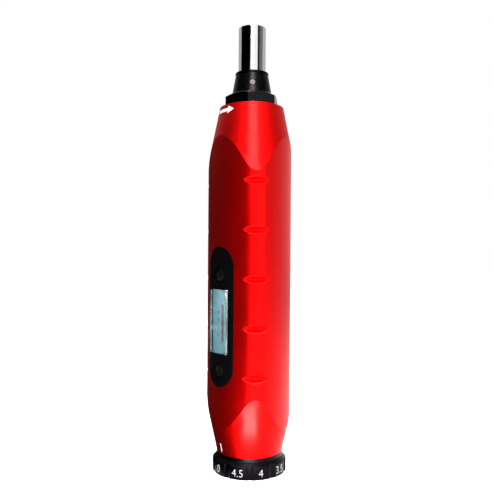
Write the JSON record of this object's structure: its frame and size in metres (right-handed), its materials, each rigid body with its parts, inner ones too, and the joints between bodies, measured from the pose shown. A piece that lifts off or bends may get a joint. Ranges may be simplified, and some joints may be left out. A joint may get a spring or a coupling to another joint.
{
  "type": "torque screwdriver",
  "caption": "Hand torque screwdriver: three-sided grip with a scale window, a numbered setting ring at the base and a hexagon bit holder at the nose.",
  "frame": {"origin": "centre of the dial ring's flat base, on the tool's axis", "axes": "+Z along the tool's axis to the bit holder, -Y the middle of the face with the window"},
  "size_m": [0.0354, 0.0354, 0.1848],
  "materials": {
    "red_anodised": "satin",
    "black_metal": "blackened",
    "black_ring": "anodised",
    "black_plate": "moulded",
    "chrome": "polished",
    "screw_steel": "blackened",
    "clear_lens": "clear acrylic",
    "scale_print": "printed",
    "slide_red": "painted",
    "steel": "ground",
    "spring_steel": "tempered",
    "brass": "turned",
    "rubber": "moulded"
  },
  "bodies": {
    "grip": {"housing": "red_anodised", "rear_bush": "brass", "drag_ring": "rubber", "thrust_washer": "steel", "guide_pins": "steel", "front_nut": "black_metal", "front_bush": "brass", "nose_grub_screw": "screw_steel", "thrust_race_front": "steel", "window_bezel": "black_plate", "window_screws": "screw_steel", "window_lens": "clear_lens", "scale_plate": "scale_print"},
    "dial": {"dial_ring": "black_ring", "lead_screw": "steel", "ring_grub_screws": "screw_steel"},
    "carriage": {"carriage_nut": "brass", "setting_slide": "slide_red", "slide_screws": "screw_steel", "main_spring": "spring_steel"},
    "drive": {"drive_cam": "steel", "cam_pin": "steel", "thrust_race_rear": "steel", "drive_shaft": "steel", "bit_socket": "chrome", "socket_pin": "steel", "bit_magnet": "screw_steel", "bit_clip": "spring_steel", "snap_ring": "black_metal"},
    "sliding_cam": {"pressure_cam": "steel", "spring_seat": "steel"},
    "bearing_cage": {"thrust_cage": "brass", "thrust_rollers": "steel"}
  },
  "joints": [
    {"name": "dial_turn", "type": "hinge", "parent": "grip", "child": "dial", "pos_m": [0, 0, 0], "axis": [0, 0, 1], "range_deg": [0, 2882]},
    {"name": "carriage_travel", "type": "slide", "parent": "grip", "child": "carriage", "axis": [0, 0, 1], "range_m": [0, 0.012], "deforming": ["main_spring"]},
    {"name": "drive_slip", "type": "hinge", "parent": "grip", "child": "drive", "pos_m": [0, 0, 0], "axis": [0, 0, -1], "range_deg": [0, 51], "stiffness_Nm_per_rad": 0.05, "springref_deg": -11.46},
    {"name": "cam_retreat", "type": "slide", "parent": "grip", "child": "sliding_cam", "axis": [0, 0, -1], "range_m": [0, 0.00136]},
    {"name": "cage_roll", "type": "hinge", "parent": "grip", "child": "bearing_cage", "pos_m": [0, 0, 0.138], "axis": [0, 0, -1], "range_deg": [0, 26]}
  ],
  "couplings": [
    {"joint": "dial_turn", "follows": "carriage_travel", "rad_per_m": 4188.8},
    {"joint": "drive_slip", "follows": "cam_retreat", "rad_per_m": 643.59},
    {"joint": "cage_roll", "follows": "cam_retreat", "rad_per_m": 321.79}
  ]
}
